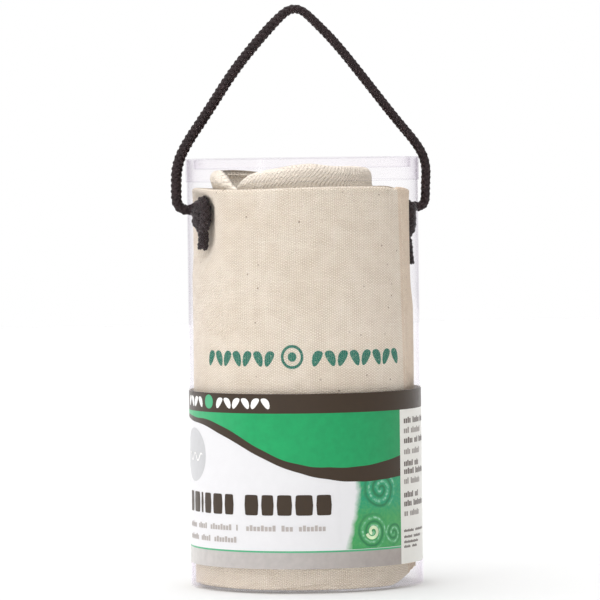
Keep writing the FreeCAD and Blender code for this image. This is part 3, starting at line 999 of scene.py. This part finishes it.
# ---------------------------------------------------------------- pocket and straps
POCKET_RADIUS = 0.03675  # between the turns of the roll
POCKET_PITCH = 0.0006
POCKET_ARC = 198.0
POCKET_CLOTH = 0.00032
TAPE = 0.00042
TURN_STEPS = 5


def zigzag(layers, length, pitch, run_steps=12):
    """A strip folded to and fro: points (through, up, along) with round turns, from the bottom layer on."""
    points = []
    radius = pitch / 2
    straight = length - 2 * radius
    travelled = 0.0
    for layer in range(layers):
        for share in np.linspace(0, 1, run_steps):
            up = radius + straight * (share if layer % 2 == 0 else 1 - share)
            points.append((layer * pitch, up, travelled + straight * share))
        travelled += straight
        if layer == layers - 1:
            break
        for step in range(1, TURN_STEPS):
            angle = math.pi * step / TURN_STEPS
            through = layer * pitch + radius * (1 - math.cos(angle))
            up = radius * math.sin(angle)
            edge = radius + straight + up if layer % 2 == 0 else radius - up
            points.append((through, edge, travelled + radius * angle))
        travelled += math.pi * radius
    return np.array(points)


def make_pocket():
    """The pocket's panel, folded once and curved between the turns of the roll."""
    middle, pitch = POCKET_RADIUS, POCKET_PITCH
    span = math.radians(POCKET_ARC) * middle
    path = zigzag(2, span, pitch, run_steps=80)
    angle = np.degrees((path[:, 1] - span / 2) / middle)
    radius = middle + pitch / 2 - path[:, 0]
    rows = np.linspace(pocket_low.z + 0.0006, pocket_high.z - 0.0006, 50)
    points = on_tube(angle[None, :], radius[None, :], rows[:, None])
    uvs = np.stack(np.meshgrid(path[:, 2], rows - rows[0]), -1)
    pocket = grid("pocket_panel", points, uvs, canvas_material("cotton_canvas_pocket"))
    solidify(pocket, POCKET_CLOTH)
    attach(pocket, "apron", "cotton_canvas", "apron_pocket")


def make_strap(name, node, layers, tape):
    """A tape folded to and fro into an upright bundle, a little uneven from fold to fold."""
    low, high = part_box(node)
    pitch = (high.y - low.y - TAPE - 0.0002) / (layers - 1)
    length = high.z - low.z - 0.003
    path = zigzag(layers, length, pitch)
    width = high.x - low.x - 0.001
    across = np.linspace(-width / 2, width / 2, 13)
    layer_of = np.round(path[:, 0] / pitch)
    uneven = 0.0012 * np.sin(layer_of * 2.1 + low.y * 900)
    near_end = np.abs(path[:, 1] / length - 0.5) * 2
    up = low.z + 0.0015 + path[:, 1] + uneven * near_end**3 * 0.8
    through = low.y + TAPE / 2 + 0.0001 + path[:, 0]
    lean = 0.0004 * np.sin(layer_of * 1.7)
    points = np.stack(np.broadcast_arrays(across + lean[:, None], through[:, None], up[:, None]), -1)
    uvs = np.stack(np.broadcast_arrays(across[None, :], path[:, 2:3]), -1)
    strap = grid(name, points, uvs, tape)
    solidify(strap, TAPE)
    attach(strap, "apron", "cotton_tape", node)


make_pocket()
twill_tape = tape_material()
for strap_name, node, layers in (
    ("neck_strap_tape", "neck_strap", 5),
    ("waist_tie_tape_left", "waist_tie_left", 7),
    ("waist_tie_tape_right", "waist_tie_right", 7),
):
    make_strap(strap_name, node, layers, twill_tape)

# ---------------------------------------------------------------- printed paper band
LABEL_RADIUS = label_high.x
INK = 0.00004  # how far each printed layer stands above the one under it
RIBBON_LAYER = 3
CARD_THICKNESS = 0.0002
label_bottom, label_top = label_low.z, label_high.z


def label_surface(angle, up, proud):
    return on_tube(angle, LABEL_RADIUS + proud, up)


# The surface under each body's print, and what it is made of.
PRINT_PLACES = {"tube": (label_surface, "printed_paper"), "apron": (wrap_surface, "cotton_canvas")}


def printed(name, start, end, low, high, material, layer=1, step=1.0, rows=2, body="tube"):
    """A printed area between two curves, low and high, that are heights or functions of the angle."""
    count = max(2, int(math.ceil((end - start) / step)) + 1)
    angle = np.linspace(start, end, count)
    bottom = low(angle) if callable(low) else np.full(count, float(low))
    top = high(angle) if callable(high) else np.full(count, float(high))
    share = np.linspace(0, 1, rows)[:, None]
    up = bottom[None, :] * (1 - share) + top[None, :] * share
    wide = np.broadcast_to(angle[None, :], up.shape)
    if body == "tube":
        across = np.radians(wide - start) * LABEL_RADIUS
    else:
        across = np.radians(OUTER_END - wide) * WRAP_RADIUS
    surface, finish = PRINT_PLACES[body]
    piece = grid(name, surface(wide, up, INK * layer), np.stack([across, up], -1), material)
    attach(piece, body, finish)
    return piece


def through_points(rows):
    """A smooth curve of height against angle through a few (angle, height) points."""
    angles = np.array([row[0] for row in rows], float)
    heights = np.array([row[1] for row in rows], float)
    slopes = np.gradient(heights, angles)

    def height(angle):
        place = np.clip(np.searchsorted(angles, angle) - 1, 0, len(angles) - 2)
        width = angles[place + 1] - angles[place]
        share = np.clip((angle - angles[place]) / width, 0, 1)
        blend = share * share * (3 - 2 * share)
        first = heights[place] + slopes[place] * share * width
        second = heights[place + 1] - slopes[place + 1] * (1 - share) * width
        return first * (1 - blend) + second * blend

    return height


def round_patch(middle_angle, middle_up, half_width, half_height, power=2.0):
    """The start and end angles and the two edge curves of a rounded patch on the label."""
    half_angle = math.degrees(half_width / LABEL_RADIUS)

    def edge(sign):
        def height(angle):
            share = np.clip(np.abs(angle - middle_angle) / half_angle, 0, 1)
            return middle_up + sign * half_height * (1 - share**power) ** (1 / power)

        return height

    return middle_angle - half_angle, middle_angle + half_angle, edge(-1), edge(1)


def join(name, pieces):
    """Joins meshes into one piece."""
    main = pieces[0]
    vertices, faces, uvs = [], [], []
    count = 0
    for piece in pieces:
        mesh = piece.data
        vertices += [tuple(v.co) for v in mesh.vertices]
        faces += [[count + i for i in face.vertices] for face in mesh.polygons]
        uvs += [tuple(corner.uv) for corner in mesh.uv_layers[0].data]
        count += len(mesh.vertices)
    whole = add_mesh(name, np.array(vertices), faces, np.array(uvs), main.data.materials[0])
    attach(whole, main["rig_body"], main["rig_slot"])
    for piece in pieces:
        bpy.data.objects.remove(piece)
    return whole


# The label's layout: angles in degrees, heights in metres.
BAND_LOW = 0.0764
PANEL_START, PANEL_END = 47.4, 132.0
DESIGN_START = -118.0
GREY_TOP = 0.0173
LINE_TOP = 0.0180
SWOOSH_TOP = through_points([
    (-118, 0.0745), (-75, 0.0737), (-52.5, 0.0710), (-29, 0.0614), (-9, 0.0548), (6, 0.0534), (20, 0.0534),
    (34, 0.0548), (47.4, 0.0570),
])
SWOOSH_LOW = through_points([
    (-118, 0.0737), (-80, 0.0720), (-52.5, 0.0672), (-29, 0.0580), (-9, 0.0511), (5, 0.0483), (19, 0.0470),
    (33, 0.0472), (47.4, 0.0482),
])


def ribbon(name, line, width, material, body="tube"):
    """A printed stroke of an even width along points (angle, height)."""
    line = np.asarray(line, float)
    scale = math.radians(1) * LABEL_RADIUS
    flat = line * [scale, 1.0]
    way = unit(np.gradient(flat, axis=0))
    aside = np.stack([-way[:, 1], way[:, 0]], 1) * width / 2
    offsets = np.array([-1.0, 0.0, 1.0])
    spread = flat[:, None, :] + aside[:, None, :] * offsets[None, :, None]
    surface, finish = PRINT_PLACES[body]
    piece = grid(name, surface(spread[..., 0] / scale, spread[..., 1], INK * RIBBON_LAYER), spread, material)
    attach(piece, body, finish)
    return piece


def spiral(middle_angle, middle_up, inner, outer, turns, start, hand=1):
    """Points (angle, height) of a spiral on the label."""
    share = np.linspace(0, 1, int(turns * 28))
    reach = inner + (outer - inner) * share
    turn = math.radians(start) + hand * 2 * math.pi * turns * share
    angle = middle_angle + np.degrees(reach * np.cos(turn) / LABEL_RADIUS)
    return np.stack([angle, middle_up + reach * np.sin(turn)], 1)


def dab(name, middle_angle, middle_up, half_width, half_height, slant, material, **place):
    """A leaf-like brush dab that leans: round at one end and pointed at the other."""
    start, end, low, high = round_patch(middle_angle, middle_up, half_width, half_height)

    def edge(curve):
        def height(angle):
            across = np.radians(angle - middle_angle) * LABEL_RADIUS
            share = (angle - start) / (end - start)
            pinch = 1 - 0.55 * np.clip(share if slant > 0 else 1 - share, 0, 1)
            return middle_up + (curve(angle) - middle_up) * pinch + across * slant

        return height

    return printed(name, start, end, edge(low), edge(high), material, step=(end - start) / 16, rows=3, **place)


def dab_row(name, spans, up, size_up, material, **place):
    """Rows of dabs between start and end angles, leaning up and down in turn."""
    pieces = []
    for start, end, count in spans:
        width = (end - start) / count
        half = math.radians(width) * LABEL_RADIUS / 2 * 0.86
        for number in range(count):
            middle = start + width * (number + 0.5)
            lean = 0.62 if number % 2 == 0 else -0.62
            pieces.append(
                dab(f"{name}_{len(pieces)}", middle, up, half, size_up * 0.42, lean, material, **place)
            )
    return join(name, pieces)


def text_like_rows(name, rows, height, pitch, material):
    """Short blocks in word-long groups, where small print would be; they are no letters."""
    pieces = []
    degrees = math.degrees(1 / LABEL_RADIUS)
    for up, words in rows:
        for start, end in words:
            count = max(1, int(round((end - start) / degrees / pitch)))
            width = (end - start) / count
            for number in range(count):
                tall = height * (1.0 + 0.3 * ((number * 5 + int(abs(start))) % 3 == 0))
                first = start + width * number
                ends = first + width * 0.12, first + width * 0.88
                pieces.append(printed(f"{name}_{len(pieces)}", *ends, up, up + tall, material, layer=2))
    return join(name, pieces)


def make_label():
    """A generic printed band: fields of colour and a swoosh, with plain shapes where the words would be."""
    card_white = (222, 221, 223)
    paper = print_material("coated_card", card_white, 0.012, 0.42)
    brown = print_material("print_brown", (53, 38, 22))
    # The green and the grey get painted light at their left and painted shade at their right, from their sides.
    green = print_material("print_green", (3, 158, 92), sides=((58, 174, 116), (22, 146, 88)))
    line_green = print_material("print_line_green", (70, 168, 120))
    grey = print_material("print_grey", (184, 178, 175), sides=((196, 192, 189), (166, 157, 152)))
    disc_grey = print_material("print_disc_grey", (190, 190, 192), 0.04)
    small_grey = print_material("print_small_grey", (176, 168, 164), 0.05)
    panel_tone = print_material("print_panel_tone", (224, 222, 216), 0.02)
    panel_ink = print_material("print_panel_ink", (96, 84, 78))
    white_ink = print_material("print_white_ink", (240, 238, 236), 0.02)
    pale_green = print_material("print_pale_green", (206, 224, 186), 0.15, 0.4)
    light_ink = print_material("print_light_ink", (146, 138, 133))
    picture = picture_material(card_white)

    inside = -label_low.x - CARD_THICKNESS
    card_profile = [
        (inside, label_bottom), (LABEL_RADIUS, label_bottom), (LABEL_RADIUS, label_top), (inside, label_top),
    ]
    card = revolve("paper_band", card_profile, paper, segments=360)
    sharpen(card, 40)
    attach(card, "tube", "printed_paper", "label_band")

    printed("band_brown", -180, 180, BAND_LOW, label_top, brown)
    printed("field_green", DESIGN_START, PANEL_START, SWOOSH_TOP, BAND_LOW, green, rows=4)
    printed("swoosh_brown", DESIGN_START, PANEL_START, SWOOSH_LOW, SWOOSH_TOP, brown)
    strips = (("strip_grey", label_bottom, GREY_TOP, grey), ("line_green", GREY_TOP, LINE_TOP, line_green))
    for name, low, high, ink in strips:
        printed(name, DESIGN_START, PANEL_START, low, high, ink)
        printed(f"{name}_back", PANEL_END, 360 + DESIGN_START, low, high, ink)
    printed("panel_tone", PANEL_START, PANEL_END, label_bottom, BAND_LOW, panel_tone)
    printed("field_green_back", PANEL_END, 360 + DESIGN_START, 0.0737, BAND_LOW, green)

    printed("disc_grey", *round_patch(-77.6, 0.0576, 0.0115, 0.0115), disc_grey, step=0.4, rows=4)
    share = np.linspace(0, 1, 60)
    wave = np.stack([-87 + 19 * share, 0.0568 + 0.0016 * np.sin(share * 15)], 1)
    ribbon("disc_wave", wave, 0.0006, white_ink)

    dab_row("band_dabs", [(-87, -66.5, 4), (-55.5, -23, 6)], 0.0809, 0.0062, white_ink, layer=2)
    printed("band_dot", *round_patch(-61, 0.0809, 0.0030, 0.0030), line_green, layer=2, step=0.3, rows=3)

    blocks = []
    title_low, title_high = 0.0331, 0.0418
    middle_up, half_up = (title_low + title_high) / 2, (title_high - title_low) / 2
    gap, blank = 0.2, 1.3  # degrees between the blocks' places, and the part of a place that stays blank
    for place, group_end, widths in ((-86.0, -43.2, (6, 7, 3, 6, 7, 6)), (-38.2, 7.2, (8, 7, 8, 9, 8))):
        stretch = (group_end - place) / sum(widths)
        for width in widths:
            width = width * stretch - gap
            half = math.radians(width - blank) * LABEL_RADIUS / 2
            patch = round_patch(place + width / 2, middle_up, half, half_up, 7.0)
            blocks.append(printed(f"block_{len(blocks)}", *patch, brown, layer=2, step=0.35, rows=3))
            place += width + gap
    join("title_blocks", blocks)
    text_like_rows("subtitle_blocks", [
        (0.0264, [(-86, -76), (-73, -64), (-61, -45.5), (-42.8, -41.6), (-37, -21), (-18.5, -12.5), (-10, 3.4)]),
        (0.0212, [(-86, -73), (-70, -61), (-58, -42.4)]),
    ], 0.0019, 0.00175, small_grey)

    printed("picture", PICTURE_START, PANEL_START, LINE_TOP + 0.0002, SWOOSH_LOW, picture, step=0.5, rows=8)
    ribbon("picture_curl", spiral(28.0, 0.0254, 0.0009, 0.0031, 1.15, 250, -1), 0.0014, pale_green)

    text_like_rows("panel_rows", [
        (0.0704, [(50.6, 58), (60, 70), (72, 80)]), (0.0618, [(50.6, 60), (62, 67), (69, 80)]),
        (0.0520, [(50.4, 60), (62, 68)]), (0.0486, [(50.4, 61), (63, 78)]),
        (0.0386, [(50.2, 60), (62, 67)]), (0.0348, [(50.2, 58), (60, 76)]),
    ], 0.0020, 0.0015, panel_ink)
    text_like_rows("panel_light_rows", [
        (0.0661, [(50.6, 56), (58, 72)]), (0.0571, [(50.6, 57), (59, 70)]),
        (0.0444, [(50.4, 55), (57, 70)]), (0.0306, [(50.2, 54), (56, 68)]),
    ], 0.0020, 0.0015, light_ink)
    text_like_rows("panel_small_rows", [
        (0.0238, [(49.9, 60), (62, 76)]), (0.0212, [(49.9, 58), (60, 70)]), (0.0190, [(49.9, 66)]),
        (0.0170, [(49.8, 56), (58, 64)]),
    ], 0.0009, 0.0009, panel_ink)


make_label()


def make_canvas_print():
    """A teal row of brush dabs each side of a ring and dot, on the roll's outermost ply."""
    ink = ink_on_canvas_material()
    dab_row("canvas_dabs", [(-65.4, -21.2, 7), (-2.8, 51.4, 8)], 0.0999, 0.0094, ink, body="apron", layer=2)
    turn = np.linspace(0, 2 * math.pi, 49)
    degrees = math.degrees(1 / LABEL_RADIUS)
    ring = np.stack([-12.4 + 0.0045 * degrees * np.cos(turn), 0.1003 + 0.0045 * np.sin(turn)], 1)
    ribbon("canvas_ring", ring, 0.0012, ink, body="apron")
    dot = round_patch(-12.4, 0.1003, 0.0020, 0.0020)
    printed("canvas_dot", *dot, ink, layer=2, step=0.3, rows=3, body="apron")


make_canvas_print()

# ---------------------------------------------------------------- studio
# How bright the surroundings are, (angle from the front towards +X, level): a broad soft light on the left as far
# as the front, a dim right side and a bright background behind the object.
SURROUND = [
    (-180, 0.95), (-137, 0.95), (-134, 0.82), (-46, 0.82), (-43.5, 0.82), (-10, 0.90), (25, 0.25), (60, 0.12),
    (100, 0.10), (140, 0.25), (160, 0.8), (180, 0.95),
]
SURROUND_SCALE = 2.0  # the stops hold at most 1, so they hold the levels divided by this
OVERHEAD_LEVEL = 2.7
STREAK_ANGLE = -48.8  # a narrow upright lamp that shows as a soft streak high on the wall
STREAK_WIDTH = 0.09
STREAK_LEVEL = 2.6
CLEAR_FACES_DEEP = 40  # a ray passes the clear lid, its ring and the wall on the way in and on the way out
FLOOR_REACH = 3.0
FLOOR_UP = -0.0004


def make_surroundings():
    """A world that is white to the camera but lights the object unevenly."""
    nodes = Nodes("studio", world=True)
    x, y, z = nodes.split(nodes.add("TexCoord").outputs["Generated"])
    angle = nodes.math("ARCTAN2", x, nodes.times(y, -1.0))
    levels = nodes.add("ValToRGB", {0: nodes.math("ADD", nodes.math("DIVIDE", angle, 2 * math.pi), 0.5)})
    stops = levels.color_ramp.elements
    while len(stops) < len(SURROUND):
        stops.new(0.5)
    for stop, (degrees, level) in zip(stops, SURROUND):
        stop.position = (degrees + 180) / 360
        stop.color = [level / SURROUND_SCALE] * 3 + [1]
    around = nodes.times(levels.outputs[0], SURROUND_SCALE)
    overhead = nodes.between(z, 0.72, 0.95, 0.0, OVERHEAD_LEVEL, "SMOOTHSTEP")
    beside = nodes.math("ABSOLUTE", nodes.math("SUBTRACT", angle, math.radians(STREAK_ANGLE)))
    streak = nodes.between(beside, 0.0, STREAK_WIDTH, STREAK_LEVEL, 0.0, "SMOOTHSTEP")
    high_part = nodes.between(z, -0.024, -0.008, way="SMOOTHSTEP")
    lit = nodes.math("ADD", nodes.math("ADD", around, nodes.times(streak, high_part)), overhead)
    seen = nodes.add("LightPath").outputs["Is Camera Ray"]
    level = nodes.math("ADD", nodes.times(lit, nodes.math("SUBTRACT", 1.0, seen)), seen)
    return nodes.finish(nodes.add("Background", {"Color": (255, 255, 255), "Strength": level}))


def make_floor():
    """A pale floor that glows a little. Its colour is darker to the camera than to the rays that light the object."""
    nodes = Nodes("pale_floor")
    seen = nodes.add("LightPath").outputs["Is Camera Ray"]
    albedo = nodes.mix(seen, (0.92, 0.92, 0.92, 1), (0.60, 0.60, 0.60, 1))
    pale = nodes.principled(
        Base_Color=albedo, Roughness=0.9, Specular_IOR_Level=0.1, Emission_Color=(255, 255, 255),
        Emission_Strength=0.18,
    )
    corners = [(x * FLOOR_REACH, y * FLOOR_REACH, FLOOR_UP) for x, y in ((-1, -1), (1, -1), (1, 1), (-1, 1))]
    add_mesh("floor", corners, [[0, 1, 2, 3]], [(0, 0), (1, 0), (1, 1), (0, 1)], pale)


scene = bpy.context.scene
scene.view_settings.view_transform = "Standard"
scene.cycles.transparent_max_bounces = CLEAR_FACES_DEEP
scene.world = make_surroundings()
make_floor()
